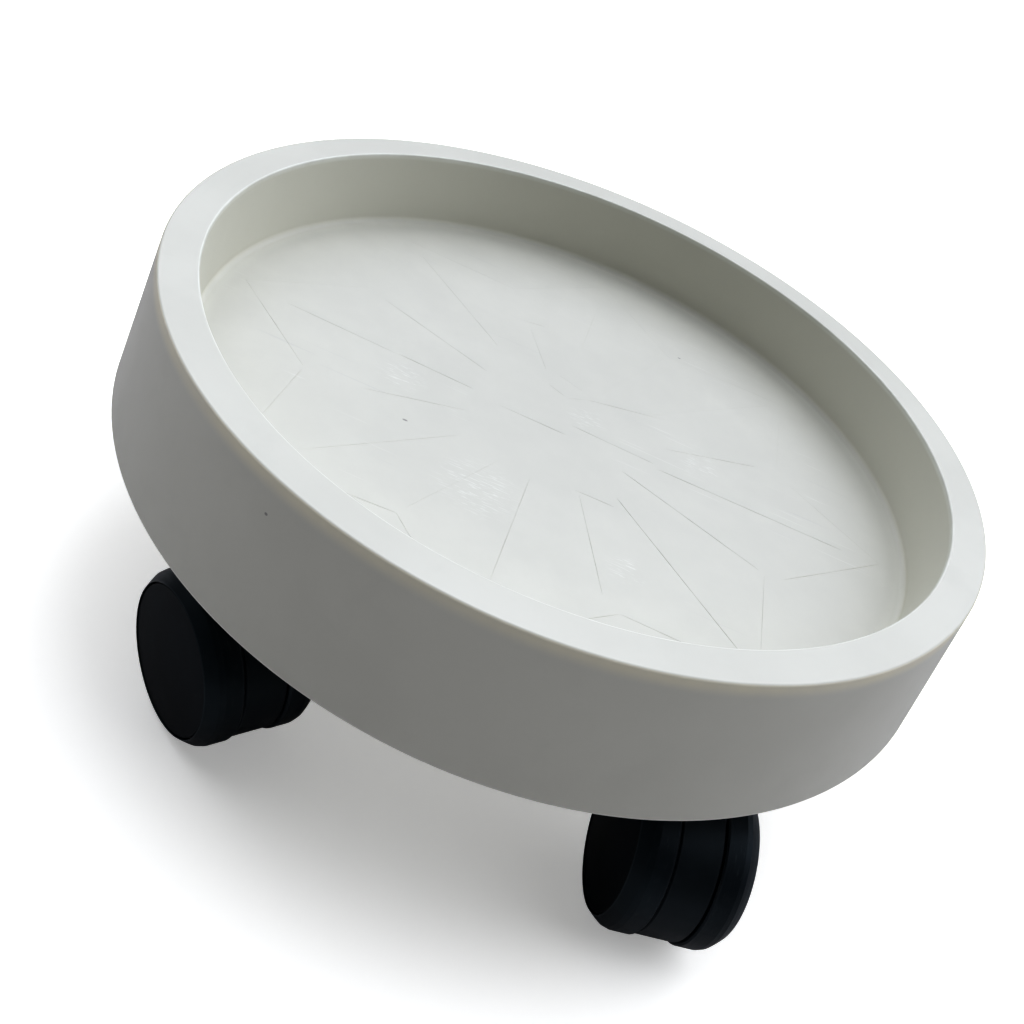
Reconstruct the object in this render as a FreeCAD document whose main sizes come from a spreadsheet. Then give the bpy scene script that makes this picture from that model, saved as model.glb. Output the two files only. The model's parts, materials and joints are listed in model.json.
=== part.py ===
import FreeCAD, Part
import math
import os
import Sketcher

# Round plant pot caddy: a one-piece moulded tray on four twin-wheel swivel casters.
# Millimetres, +Z up, origin on the ground under the centre of the tray.
# +Y points to the rear, +X to the right. Casters stand on the diagonals of the tray.

doc = FreeCAD.newDocument("PlantPotCaddy")

# ---------------------------------------------------------------------------
# Driving dimensions
# ---------------------------------------------------------------------------
SIZES = [
    # tray
    ("rim_radius", 130.0, "outer radius of the rim, at its top face"),
    ("foot_radius", 135.4, "outer radius of the skirt at its foot"),
    ("rim_top", 120.0, "height of the rim's top face above the ground"),
    ("foot_level", 74.0, "height of the skirt's foot above the ground"),
    ("recess_radius", 118.8, "radius of the dish at the rim"),
    ("floor_radius", 117.8, "radius of the dish at its floor"),
    ("floor_top", 94.0, "height of the dish floor"),
    ("floor_thick", 3.0, "floor thickness"),
    ("wall_thick", 2.6, "dish wall thickness"),
    ("rim_thick", 3.0, "thickness of the rim's top plate"),
    ("skirt_thick", 3.0, "skirt thickness"),
    ("rim_round", 0.8, "rounding of the rim's outer edge"),
    ("rim_inner_round", 0.6, "rounding of the rim's inner edge"),
    ("floor_round", 1.8, "rounding between floor and dish wall"),
    ("foot_round", 0.7, "rounding of the skirt's foot"),
    # ribs under the floor
    ("rib_thick", 2.0, "thickness of the ribs"),
    ("rib_depth", 9.0, "depth of the ribs below the floor"),
    ("rib_count", 8.0, "ribs of each kind around the tray"),
    ("hub_ring_outer", 35.0, "outer radius of the central ring rib"),
    ("hub_ring_inner", 33.0, "inner radius of the central ring rib"),
    ("long_rib_end", 99.0, "outer end of the long radial ribs"),
    ("short_rib_end", 79.5, "outer end of the short radial ribs"),
    ("star_tip", 106.8, "radius of the star's outer corners"),
    ("star_notch", 79.8, "radius of the star's inner corners"),
    ("rim_web_count", 16.0, "webs between dish wall and skirt"),
    ("rim_web_foot", 86.0, "lower end of those webs"),
    # witness marks on the dish floor, above the ribs
    ("mark_width", 0.45, "width of a witness mark"),
    ("mark_depth", 0.2, "depth of a witness mark"),
    ("long_mark_start", 33.0, "inner end of the long marks"),
    ("short_mark_start", 29.0, "inner end of the short marks"),
    # caster sockets
    ("caster_count", 4.0, "casters"),
    ("stem_circle", 105.4, "radius of the circle that the stems stand on"),
    ("boss_radius", 10.5, "outer radius of a socket boss"),
    ("boss_foot", 76.0, "height of the socket boss's lower face"),
    ("socket_radius", 5.1, "radius of the socket's bore"),
    ("socket_top", 91.2, "height of the socket's blind end"),
    ("ring_groove_radius", 5.8, "radius of the groove for the grip ring"),
    ("grip_low", 85.0, "lower side of the grip ring"),
    ("grip_high", 86.6, "upper side of the grip ring"),
    # stem
    ("stem_radius", 5.0, "radius of the stem in the socket"),
    ("stem_top", 90.6, "top of the stem"),
    ("stem_neck", 4.2, "radius of the stem under the grip ring"),
    ("collar_radius", 8.0, "radius of the stem's collar"),
    ("collar_low", 74.5, "underside of the collar"),
    ("shank_radius", 4.0, "radius of the stem in the hood"),
    ("shank_foot", 48.0, "lower end of the stem"),
    ("shank_groove", 3.5, "radius of the stem under the retaining ring"),
    ("keeper_low", 58.0, "lower side of the retaining ring"),
    ("keeper_high", 59.0, "upper side of the retaining ring"),
    ("ring_play", 0.2, "axial play of the rings in their grooves"),
    # hood
    ("trail", 12.0, "distance from the stem's axis to the axle"),
    ("wheel_radius", 26.0, "radius of the tread, and height of the axle"),
    ("drum_radius", 25.3, "radius of the drum between the wheels"),
    ("drum_half", 6.5, "half the width of the drum"),
    ("drum_foot", 8.0, "height of the drum's flat underside"),
    ("hood_top", 74.2, "top of the neck"),
    ("neck_radius", 9.5, "radius of the neck at its top"),
    ("neck_skirt", 11.2, "radius of the neck at its foot"),
    ("neck_foot", 47.0, "height of the neck's foot"),
    ("plate_top_half", 6.7, "half the depth of the plate where it enters the neck"),
    ("brow_radius", 20.0, "radius of the hollow curve from neck to drum"),
    ("wheel_room", 26.9, "radius kept clear for the wheels"),
    ("shank_bore", 4.1, "radius of the hood's upright bore"),
    ("bore_foot", 47.4, "blind end of the upright bore"),
    ("keeper_room", 5.2, "radius of the hood's ring groove"),
    ("drum_recess_in", 7.5, "inner radius of the drum's side recess"),
    ("drum_recess_out", 20.5, "outer radius of the drum's side recess"),
    ("drum_web_half", 3.0, "half the thickness left between the recesses"),
    # axle
    ("axle_radius", 2.5, "radius of the axle"),
    ("axle_half", 14.8, "half the length of the axle"),
    ("axle_hole", 2.54, "radius of the hood's cross hole"),
    ("clip_in", 13.8, "inner side of an axle clip"),
    ("clip_out", 14.3, "outer side of an axle clip"),
    ("clip_bore", 2.05, "inner radius of an axle clip"),
    ("clip_radius", 4.2, "outer radius of an axle clip"),
    ("clip_groove", 2.0, "radius of the axle under a clip"),
    ("clip_slot", 2.6, "width of the slot in a clip"),
    # wheel
    ("tread_in", 7.0, "inner side of the tread"),
    ("tread_out", 12.7, "outer side of the tread"),
    ("tread_wall", 22.6, "inner radius of the tread's wall"),
    ("wheel_bore", 2.6, "radius of the wheel's bore"),
    ("hub_radius", 5.6, "radius of the hub"),
    ("hub_out", 13.5, "outer face of the hub"),
    ("disc_in", 13.0, "inner face of the wheel's disc"),
    ("disc_out", 15.5, "seat of the hub cap"),
    ("disc_well", 7.0, "radius of the well for the axle's end"),
    ("shoulder_radius", 25.5, "radius at the outer edge of the wheel's face"),
    ("shoulder_out", 14.5, "outer side of that edge"),
    ("face_inner", 22.9, "inner radius of the wheel's face ring"),
    ("face_out", 17.9, "outer side of the face ring at its inner edge"),
    ("spoke_count", 6.0, "stiffening webs inside a wheel"),
    ("spoke_thick", 1.4, "thickness of those webs"),
    ("spoke_in", 8.2, "inner side of those webs"),
    # hub cap
    ("cap_radius", 22.4, "radius of the hub cap"),
    ("cap_edge", 17.6, "outer side of the cap at its edge"),
    ("cap_crown", 19.0, "outer side of the cap at its centre"),
    ("cap_spigot_out", 6.8, "outer radius of the cap's spigot"),
    ("cap_spigot_in", 5.8, "inner radius of the cap's spigot"),
    ("cap_spigot_foot", 14.1, "inner end of the cap's spigot"),
]

sheet = doc.addObject("Spreadsheet::Sheet", "Dims")
SIZE = {}
for row, (alias, number, note) in enumerate(SIZES, start=1):
    sheet.set("A%d" % row, alias)
    sheet.set("B%d" % row, repr(float(number)))
    sheet.set("C%d" % row, note)
    sheet.setAlias("B%d" % row, alias)
    SIZE[alias] = float(number)
doc.recompute()


class Size:
    """A length with its value and the sheet expression that gives it."""

    def __init__(self, value, text):
        self.value = float(value)
        self.text = text

    def __add__(self, other):
        o = as_size(other)
        return Size(self.value + o.value, "(%s + %s)" % (self.text, o.text))

    def __sub__(self, other):
        o = as_size(other)
        return Size(self.value - o.value, "(%s - %s)" % (self.text, o.text))

    def __mul__(self, other):
        o = as_size(other)
        return Size(self.value * o.value, "(%s * %s)" % (self.text, o.text))

    def __truediv__(self, other):
        o = as_size(other)
        return Size(self.value / o.value, "(%s / %s)" % (self.text, o.text))

    def __neg__(self):
        return Size(-self.value, "(0 - %s)" % self.text)


def as_size(x):
    return x if isinstance(x, Size) else Size(x, repr(float(x)))


def dim(alias):
    return Size(SIZE[alias], "Dims." + alias)


def cosd(angle, length):
    return Size(length.value * math.cos(math.radians(angle)), "(%s * cos(%r))" % (length.text, float(angle)))


def sind(angle, length):
    return Size(length.value * math.sin(math.radians(angle)), "(%s * sin(%r))" % (length.text, float(angle)))


ZERO = as_size(0.0)

# ---------------------------------------------------------------------------
# Sketch and feature helpers
# ---------------------------------------------------------------------------


def new_body(name):
    body = doc.addObject("PartDesign::Body", name)
    body.Label = name
    return body


def origin_part(body, role):
    for feature in body.Origin.OriginFeatures:
        if feature.Role == role:
            return feature
    raise RuntimeError("no origin feature " + role)


def new_sketch(body, name, role, lift=None):
    sk = body.newObject("Sketcher::SketchObject", name)
    sk.AttachmentSupport = [(origin_part(body, role), "")]
    sk.MapMode = "FlatFace"
    if lift is not None:
        sk.AttachmentOffset = FreeCAD.Placement(FreeCAD.Vector(0, 0, lift.value), FreeCAD.Rotation())
        sk.setExpression(".AttachmentOffset.Base.z", lift.text)
    return sk


def bind(sk, index, expr):
    sk.setExpression("Constraints[%d]" % index, expr)


def locate(sk, geo, pos, x, y):
    """Pins a sketch point at (x, y) from the sketch's origin."""
    for kind, axis, v in (("DistanceX", -2, x), ("DistanceY", -1, y)):
        if abs(v.value) < 1e-9:
            sk.addConstraint(Sketcher.Constraint("PointOnObject", geo, pos, axis))
        elif v.value > 0:
            bind(sk, sk.addConstraint(Sketcher.Constraint(kind, -1, 1, geo, pos, v.value)), v.text)
        else:
            bind(sk, sk.addConstraint(Sketcher.Constraint(kind, geo, pos, -1, 1, -v.value)), "0 - " + v.text)


def outline(sk, points):
    """Closed outline through points (x, y) or (x, y, radius, side).

    With a radius, the run to the next point is an arc whose centre lies to the
    left (side +1) or to the right (side -1) of that run. With a radius of None,
    the arc's centre lies on the sketch's vertical axis.
    """
    n = len(points)
    starts, ends = [], []
    for i in range(n):
        a, b = points[i], points[(i + 1) % n]
        ax, ay, bx, by = a[0].value, a[1].value, b[0].value, b[1].value
        if len(a) > 2:
            r, side = a[2], a[3]
            if r is None:
                cx = 0.0
                cy = ((ax ** 2 + ay ** 2) - (bx ** 2 + by ** 2)) / (2.0 * (ay - by))
                rv = math.hypot(ax, ay - cy)
            else:
                rv = r.value
                mx, my = (ax + bx) / 2.0, (ay + by) / 2.0
                half = math.hypot(bx - ax, by - ay) / 2.0
                reach = math.sqrt(max(rv ** 2 - half ** 2, 0.0))
                nx, ny = -(by - ay) / (2 * half), (bx - ax) / (2 * half)
                cx, cy = mx + side * reach * nx, my + side * reach * ny
            a0 = math.atan2(ay - cy, ax - cx)
            a1 = math.atan2(by - cy, bx - cx)
            circle = Part.Circle(FreeCAD.Vector(cx, cy, 0), FreeCAD.Vector(0, 0, 1), rv)
            if side > 0:
                g = sk.addGeometry(Part.ArcOfCircle(circle, a0, a1 if a1 > a0 else a1 + 2 * math.pi))
                starts.append((g, 1))
                ends.append((g, 2))
            else:
                g = sk.addGeometry(Part.ArcOfCircle(circle, a1, a0 if a0 > a1 else a0 + 2 * math.pi))
                starts.append((g, 2))
                ends.append((g, 1))
            if r is None:
                sk.addConstraint(Sketcher.Constraint("PointOnObject", g, 3, -2))
            else:
                bind(sk, sk.addConstraint(Sketcher.Constraint("Radius", g, rv)), r.text)
        else:
            g = sk.addGeometry(Part.LineSegment(FreeCAD.Vector(ax, ay, 0), FreeCAD.Vector(bx, by, 0)))
            starts.append((g, 1))
            ends.append((g, 2))
    for i in range(n):
        sk.addConstraint(Sketcher.Constraint("Coincident", ends[i - 1][0], ends[i - 1][1], starts[i][0], starts[i][1]))
        locate(sk, starts[i][0], starts[i][1], points[i][0], points[i][1])


def circle_in(sk, x, y, r):
    g = sk.addGeometry(Part.Circle(FreeCAD.Vector(x.value, y.value, 0), FreeCAD.Vector(0, 0, 1), r.value))
    bind(sk, sk.addConstraint(Sketcher.Constraint("Radius", g, r.value)), r.text)
    locate(sk, g, 3, x, y)


def strip(sk, a, b, width):
    """Thin straight bar from point a to point b, square-ended."""
    ax, ay, bx, by = a[0].value, a[1].value, b[0].value, b[1].value
    run = math.hypot(bx - ax, by - ay)
    nx, ny = -(by - ay) / run / 2.0, (bx - ax) / run / 2.0
    outline(sk, [
        (a[0] + width * nx, a[1] + width * ny),
        (a[0] - width * nx, a[1] - width * ny),
        (b[0] - width * nx, b[1] - width * ny),
        (b[0] + width * nx, b[1] + width * ny),
    ])


def revolve(body, name, sk, cut=False):
    f = body.newObject("PartDesign::Groove" if cut else "PartDesign::Revolution", name)
    f.Profile = sk
    f.ReferenceAxis = (sk, ["V_Axis"])
    f.Angle = 360.0
    body.Tip = f
    return f


def extrude(body, name, sk, length, cut=False, symmetric=False, flip=False):
    f = body.newObject("PartDesign::Pocket" if cut else "PartDesign::Pad", name)
    f.Profile = sk
    f.SideType = "Symmetric" if symmetric else "One side"
    f.Reversed = flip
    f.Length = length.value
    f.setExpression("Length", length.text)
    body.Tip = f
    return f


def around(body, name, feature, count):
    doc.recompute()
    f = body.newObject("PartDesign::PolarPattern", name)
    f.Originals = [feature]
    f.Axis = (origin_part(body, "Z_Axis"), [""])
    f.Angle = 360.0
    f.Occurrences = int(round(count.value))
    f.setExpression("Occurrences", count.text)
    body.Tip = f
    return f


def soften(body, name, radius, chosen, chamfer=False):
    """Fillets (or chamfers) the edges of the body's tip that chosen(edge) picks."""
    doc.recompute()
    base = body.Tip
    names = ["Edge%d" % (i + 1) for i, e in enumerate(base.Shape.Edges) if chosen(e)]
    if not names:
        raise RuntimeError(body.Name + ": no edge found for " + name)
    f = body.newObject("PartDesign::Chamfer" if chamfer else "PartDesign::Fillet", name)
    f.Base = (base, names)
    prop = "Size" if chamfer else "Radius"
    setattr(f, prop, radius.value)
    f.setExpression(prop, radius.text)
    body.Tip = f
    return f


def ring_edge(radius, level, slack=0.02):
    """Picks the full circle about the Z axis with this radius at this height."""
    def test(e):
        c = e.Curve
        if not isinstance(c, Part.Circle):
            return False
        return (abs(c.Radius - radius) < slack and abs(c.Center.z - level) < slack
                and math.hypot(c.Center.x, c.Center.y) < slack)
    return test


# ---------------------------------------------------------------------------
# Tray: dish, wide rim, flared skirt, ribs, rim webs, caster sockets
# ---------------------------------------------------------------------------
floor_top = dim("floor_top")
floor_under = floor_top - dim("floor_thick")
rim_under = dim("rim_top") - dim("rim_thick")
flare = (dim("foot_radius") - dim("rim_radius")) / (dim("rim_top") - dim("foot_level"))
skirt_in_top = dim("rim_radius") + flare * dim("rim_thick") - dim("skirt_thick")
skirt_in_foot = dim("foot_radius") - dim("skirt_thick")

tray = new_body("tray")
sk = new_sketch(tray, "DishSection", "XZ_Plane")
outline(sk, [
    (ZERO, floor_under),
    (dim("floor_radius") + dim("wall_thick"), floor_under),
    (dim("recess_radius") + dim("wall_thick"), rim_under),
    (skirt_in_top, rim_under),
    (skirt_in_foot, dim("foot_level")),
    (dim("foot_radius"), dim("foot_level")),
    (dim("rim_radius"), dim("rim_top")),
    (dim("recess_radius"), dim("rim_top")),
    (dim("floor_radius"), floor_top),
    (ZERO, floor_top),
])
revolve(tray, "DishAndSkirt", sk)
soften(tray, "RimOuterRound", dim("rim_round"), ring_edge(SIZE["rim_radius"], SIZE["rim_top"]))
soften(tray, "RimInnerRound", dim("rim_inner_round"), ring_edge(SIZE["recess_radius"], SIZE["rim_top"]))
soften(tray, "FloorRound", dim("floor_round"), ring_edge(SIZE["floor_radius"], SIZE["floor_top"]))
soften(tray, "FootRound", dim("foot_round"),
       lambda e: ring_edge(SIZE["foot_radius"], SIZE["foot_level"])(e)
       or ring_edge(SIZE["foot_radius"] - SIZE["skirt_thick"], SIZE["foot_level"])(e))

# Ribs hang from the floor. Each sketch lies at the ribs' lower face.
bite = as_size(0.8)
rib_low = floor_under - dim("rib_depth")
rib_rise = dim("rib_depth") + bite
STEP = 360.0 / SIZE["rib_count"]
HALF = STEP / 2.0
ring_mid = (dim("hub_ring_outer") + dim("hub_ring_inner")) / 2


def polar(radius, angle):
    return (cosd(angle, radius), sind(angle, radius))


sk = new_sketch(tray, "HubRingSketch", "XY_Plane", rib_low)
circle_in(sk, ZERO, ZERO, dim("hub_ring_outer"))
circle_in(sk, ZERO, ZERO, dim("hub_ring_inner"))
extrude(tray, "HubRing", sk, rib_rise)

RIBS = [
    ("LongRib", (ring_mid, 0.0), (dim("long_rib_end"), 0.0)),
    ("ShortRib", (ring_mid, HALF), (dim("short_rib_end"), HALF)),
    ("StarRibA", (dim("star_tip"), 0.0), (dim("star_notch"), HALF)),
    ("StarRibB", (dim("star_tip"), 0.0), (dim("star_notch"), -HALF)),
]
for name, a, b in RIBS:
    sk = new_sketch(tray, name + "Sketch", "XY_Plane", rib_low)
    strip(sk, polar(*a), polar(*b), dim("rib_thick"))
    around(tray, name + "s", extrude(tray, name, sk, rib_rise), dim("rib_count"))

# Sixteen webs tie the dish wall to the skirt under the rim.
sk = new_sketch(tray, "RimWebSketch", "XZ_Plane")
web_foot = dim("rim_web_foot")
web_skirt = dim("rim_radius") + flare * (dim("rim_top") - web_foot) - dim("skirt_thick")
outline(sk, [
    (dim("floor_radius") + dim("wall_thick") - 0.9, floor_under + 0.2),
    (web_skirt + 0.6, web_foot),
    (skirt_in_top + 0.9, rim_under + 0.6),
    (dim("recess_radius") + dim("wall_thick") - 0.9, rim_under + 0.6),
])
around(tray, "RimWebs", extrude(tray, "RimWeb", sk, dim("rib_thick"), symmetric=True), dim("rim_web_count"))

# Socket bosses for the stems, on the diagonals.
sk = new_sketch(tray, "BossSketch", "XY_Plane", dim("boss_foot"))
circle_in(sk, cosd(45.0, dim("stem_circle")), sind(45.0, dim("stem_circle")), dim("boss_radius"))
around(tray, "Bosses", extrude(tray, "Boss", sk, floor_under + bite - dim("boss_foot")), dim("caster_count"))

sk = new_sketch(tray, "SocketSketch", "XY_Plane", dim("boss_foot"))
circle_in(sk, cosd(45.0, dim("stem_circle")), sind(45.0, dim("stem_circle")), dim("socket_radius"))
around(tray, "Sockets", extrude(tray, "Socket", sk, dim("socket_top") - dim("boss_foot"), cut=True, flip=True),
       dim("caster_count"))

sk = new_sketch(tray, "SocketGrooveSketch", "XY_Plane", dim("grip_low") - dim("ring_play"))
circle_in(sk, cosd(45.0, dim("stem_circle")), sind(45.0, dim("stem_circle")), dim("ring_groove_radius"))
around(tray, "SocketGrooves",
       extrude(tray, "SocketGroove", sk, dim("grip_high") - dim("grip_low") + dim("ring_play") * 2, cut=True, flip=True),
       dim("caster_count"))

# Witness marks on the dish floor, over the ribs.
mark_floor = floor_top - dim("mark_depth")
mark_run = dim("mark_depth") + 0.5
MARKS = [
    ("LongMark", (dim("long_mark_start"), 0.0), (dim("long_rib_end"), 0.0)),
    ("ShortMark", (dim("short_mark_start"), HALF), (dim("short_rib_end"), HALF)),
    ("StarMarkA", (dim("star_tip"), 0.0), (dim("star_notch"), HALF)),
    ("StarMarkB", (dim("star_tip"), 0.0), (dim("star_notch"), -HALF)),
]
for name, a, b in MARKS:
    sk = new_sketch(tray, name + "Sketch", "XY_Plane", mark_floor)
    strip(sk, polar(*a), polar(*b), dim("mark_width"))
    around(tray, name + "s", extrude(tray, name, sk, mark_run, cut=True, flip=True), dim("rib_count"))

# ---------------------------------------------------------------------------
# Casters. Local frame of each: stem on the Z axis, ground at z = 0, the axle
# parallel to Y at x = trail. "heading" turns local +X, the trail, in plan.
# ---------------------------------------------------------------------------
CASTERS = [
    ("front_right", -45.0, -79.0),
    ("front_left", -135.0, -42.0),
    ("rear_left", 135.0, 168.0),
    ("rear_right", 45.0, 96.0),
]
axle_level = dim("wheel_radius")
parts_made = [tray]


def make_stem(name):
    b = new_body(name)
    sk = new_sketch(b, name + "_section", "XZ_Plane")
    lip = as_size(0.8)
    outline(sk, [
        (ZERO, dim("shank_foot")),
        (dim("shank_radius") - lip, dim("shank_foot")),
        (dim("shank_radius"), dim("shank_foot") + lip),
        (dim("shank_radius"), dim("keeper_low") - dim("ring_play")),
        (dim("shank_groove"), dim("keeper_low") - dim("ring_play")),
        (dim("shank_groove"), dim("keeper_high") + dim("ring_play")),
        (dim("shank_radius"), dim("keeper_high") + dim("ring_play")),
        (dim("shank_radius"), dim("collar_low")),
        (dim("collar_radius"), dim("collar_low")),
        (dim("collar_radius"), dim("boss_foot")),
        (dim("stem_radius"), dim("boss_foot")),
        (dim("stem_radius"), dim("grip_low") - dim("ring_play")),
        (dim("stem_neck"), dim("grip_low") - dim("ring_play")),
        (dim("stem_neck"), dim("grip_high") + dim("ring_play")),
        (dim("stem_radius"), dim("grip_high") + dim("ring_play")),
        (dim("stem_radius"), dim("stem_top") - 1.2),
        (dim("stem_radius") - 1.2, dim("stem_top")),
        (ZERO, dim("stem_top")),
    ])
    revolve(b, name + "_turned", sk)
    return b


def make_c_ring(name, inner, outer, low, high, slot):
    b = new_body(name)
    sk = new_sketch(b, name + "_face", "XY_Plane", low)
    circle_in(sk, ZERO, ZERO, outer)
    circle_in(sk, ZERO, ZERO, inner)
    extrude(b, name + "_ring", sk, high - low)
    sk = new_sketch(b, name + "_slot_face", "XY_Plane", low - 0.5)
    outline(sk, [(inner / 2, -slot / 2), (outer + 1, -slot / 2), (outer + 1, slot / 2), (inner / 2, slot / 2)])
    extrude(b, name + "_slot", sk, high - low + 1, cut=True, flip=True)
    return b


def make_hood(name):
    """Neck and drum in one moulding. The drum fills the space between the wheels."""
    b = new_body(name)
    half = dim("drum_half")
    trail = dim("trail")
    # drum
    sk = new_sketch(b, name + "_drum_face", "XZ_Plane")
    circle_in(sk, trail, axle_level, dim("drum_radius"))
    extrude(b, name + "_drum", sk, half * 2, symmetric=True)
    soften(b, name + "_rim", as_size(0.5), lambda e: isinstance(e.Curve, Part.Circle), chamfer=True)
    # plate that carries the drum up into the neck, with a hollow curve on its front
    sk = new_sketch(b, name + "_plate_face", "XZ_Plane")
    outline(sk, [
        (-dim("plate_top_half"), dim("hood_top") - 4.0),
        (-dim("plate_top_half") - 1.9, dim("neck_foot") + 2.0),
        (trail - dim("drum_radius") + 0.4, axle_level + 3.0),
        (trail, axle_level),
        (trail + 6.0, axle_level + dim("drum_radius") * 0.96, dim("brow_radius"), -1),
        (dim("plate_top_half"), dim("hood_top") - 4.0),
    ])
    extrude(b, name + "_plate", sk, half * 2, symmetric=True)
    # round neck about the stem
    sk = new_sketch(b, name + "_neck_section", "XZ_Plane")
    outline(sk, [
        (ZERO, dim("neck_foot")),
        (dim("neck_skirt"), dim("neck_foot")),
        (dim("neck_skirt"), dim("neck_foot") + 4.0),
        (dim("neck_radius"), dim("hood_top") - 6.0),
        (dim("neck_radius"), dim("hood_top")),
        (ZERO, dim("hood_top")),
    ])
    revolve(b, name + "_neck", sk)
    # saddles that keep clear of the two wheels
    for side, flip in (("right", True), ("left", False)):
        lift = -half if side == "right" else half
        sk = new_sketch(b, name + "_saddle_face_" + side, "XZ_Plane", lift)
        circle_in(sk, trail, axle_level, dim("wheel_room"))
        extrude(b, name + "_saddle_" + side, sk, as_size(20.0), cut=True, flip=not flip)
    # flat underside
    sk = new_sketch(b, name + "_foot_face", "XZ_Plane")
    outline(sk, [
        (trail - 30.0, as_size(-5.0)),
        (trail + 30.0, as_size(-5.0)),
        (trail + 30.0, dim("drum_foot")),
        (trail - 30.0, dim("drum_foot")),
    ])
    extrude(b, name + "_foot", sk, half * 2 + 4.0, cut=True, symmetric=True)
    # recess in each side of the drum, round the axle's boss
    for side, flip in (("right", True), ("left", False)):
        lift = -dim("drum_web_half") if side == "right" else dim("drum_web_half")
        sk = new_sketch(b, name + "_recess_face_" + side, "XZ_Plane", lift)
        level = dim("drum_foot") + 3.0
        reach = Size(math.sqrt(SIZE["drum_recess_out"] ** 2 - (axle_level.value - level.value) ** 2),
                     "sqrt(%s ^ 2 - (%s - %s) ^ 2)" % (dim("drum_recess_out").text, axle_level.text, level.text))
        outline(sk, [
            (trail + reach, level, dim("drum_recess_out"), 1),
            (trail, axle_level + dim("drum_recess_out"), dim("drum_recess_out"), 1),
            (trail - reach, level),
        ])
        circle_in(sk, trail, axle_level, dim("drum_recess_in"))
        extrude(b, name + "_recess_" + side, sk, as_size(9.0), cut=True, flip=not flip)
    # cross hole for the axle
    sk = new_sketch(b, name + "_axle_face", "XZ_Plane")
    circle_in(sk, trail, axle_level, dim("axle_hole"))
    extrude(b, name + "_axle_hole", sk, as_size(40.0), cut=True, symmetric=True)
    # upright bore with its ring groove
    sk = new_sketch(b, name + "_bore_section", "XZ_Plane")
    outline(sk, [
        (ZERO, dim("bore_foot")),
        (dim("shank_bore"), dim("bore_foot")),
        (dim("shank_bore"), dim("keeper_low") - 0.05),
        (dim("keeper_room"), dim("keeper_low") - 0.05),
        (dim("keeper_room"), dim("keeper_high") + 0.05),
        (dim("shank_bore"), dim("keeper_high") + 0.05),
        (dim("shank_bore"), dim("hood_top") + 1.0),
        (ZERO, dim("hood_top") + 1.0),
    ])
    revolve(b, name + "_bore", sk, cut=True)
    # softened top edge
    soften(b, name + "_top_round", as_size(0.8),
           ring_edge(SIZE["neck_radius"], SIZE["hood_top"]))
    return b


def make_axle(name):
    b = new_body(name)
    sk = new_sketch(b, name + "_section", "XZ_Plane")
    play = as_size(0.05)
    lip = as_size(0.4)
    upper = [
        (dim("axle_radius"), dim("clip_in") - play),
        (dim("clip_groove"), dim("clip_in") - play),
        (dim("clip_groove"), dim("clip_out") + play),
        (dim("axle_radius"), dim("clip_out") + play),
        (dim("axle_radius") - lip + 0.3, dim("axle_half")),
        (ZERO, dim("axle_half")),
    ]
    lower = [(x, -z) for x, z in reversed(upper)]
    outline(sk, lower + upper)
    revolve(b, name + "_turned", sk)
    return b


def make_clips(name):
    """Two spring clips, one at each end of the axle, as separate solids."""
    made = []
    for side, sign in (("right", 1.0), ("left", -1.0)):
        outer = doc.addObject("Part::Cylinder", name + "_disc_" + side)
        inner = doc.addObject("Part::Cylinder", name + "_hole_" + side)
        slot = doc.addObject("Part::Box", name + "_slot_" + side)
        for c, r in ((outer, dim("clip_radius")), (inner, dim("clip_bore"))):
            c.setExpression("Radius", r.text)
        outer.setExpression("Height", (dim("clip_out") - dim("clip_in")).text)
        inner.setExpression("Height", (dim("clip_out") - dim("clip_in") + 2).text)
        slot.setExpression("Length", (dim("clip_radius") + 1).text)
        slot.setExpression("Width", dim("clip_slot").text)
        slot.setExpression("Height", (dim("clip_out") - dim("clip_in") + 2).text)
        low = dim("clip_in") if sign > 0 else -dim("clip_out")
        outer.setExpression(".Placement.Base.z", low.text)
        inner.setExpression(".Placement.Base.z", (low - 1).text)
        slot.setExpression(".Placement.Base.z", (low - 1).text)
        slot.setExpression(".Placement.Base.y", (-(dim("clip_slot") / 2)).text)
        holed = doc.addObject("Part::Cut", name + "_holed_" + side)
        holed.Base, holed.Tool = outer, inner
        clip = doc.addObject("Part::Cut", name + "_clip_" + side)
        clip.Base, clip.Tool = holed, slot
        made.append(clip)
    pair = doc.addObject("Part::Compound", name)
    pair.Label = name
    pair.Links = made
    return pair


def make_wheel(name):
    """Moulded wheel about its own Z axis; z runs outwards from the caster's middle."""
    b = new_body(name)
    sk = new_sketch(b, name + "_section", "XZ_Plane")
    r = dim("wheel_radius")
    outline(sk, [
        (dim("wheel_bore"), dim("tread_in") + 0.1),
        (dim("hub_radius"), dim("tread_in") + 0.1),
        (dim("hub_radius"), dim("disc_in")),
        (dim("tread_wall"), dim("disc_in")),
        (dim("tread_wall"), dim("tread_in")),
        (r - 0.5, dim("tread_in")),
        (r, dim("tread_in") + 0.5),
        (r, dim("tread_out")),
        (dim("shoulder_radius"), dim("shoulder_out"), None, 1),
        (dim("face_inner"), dim("face_out")),
        (dim("face_inner"), dim("disc_out")),
        (dim("disc_well"), dim("disc_out")),
        (dim("disc_well"), dim("hub_out")),
        (dim("wheel_bore"), dim("hub_out")),
    ])
    revolve(b, name + "_moulding", sk)
    sk = new_sketch(b, name + "_spoke_face", "XZ_Plane")
    outline(sk, [
        (dim("hub_radius") - 0.6, dim("spoke_in")),
        (dim("tread_wall") + 0.6, dim("spoke_in")),
        (dim("tread_wall") + 0.6, dim("disc_in") + 0.5),
        (dim("hub_radius") - 0.6, dim("disc_in") + 0.5),
    ])
    around(b, name + "_spokes", extrude(b, name + "_spoke", sk, dim("spoke_thick"), symmetric=True), dim("spoke_count"))
    return b


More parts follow.
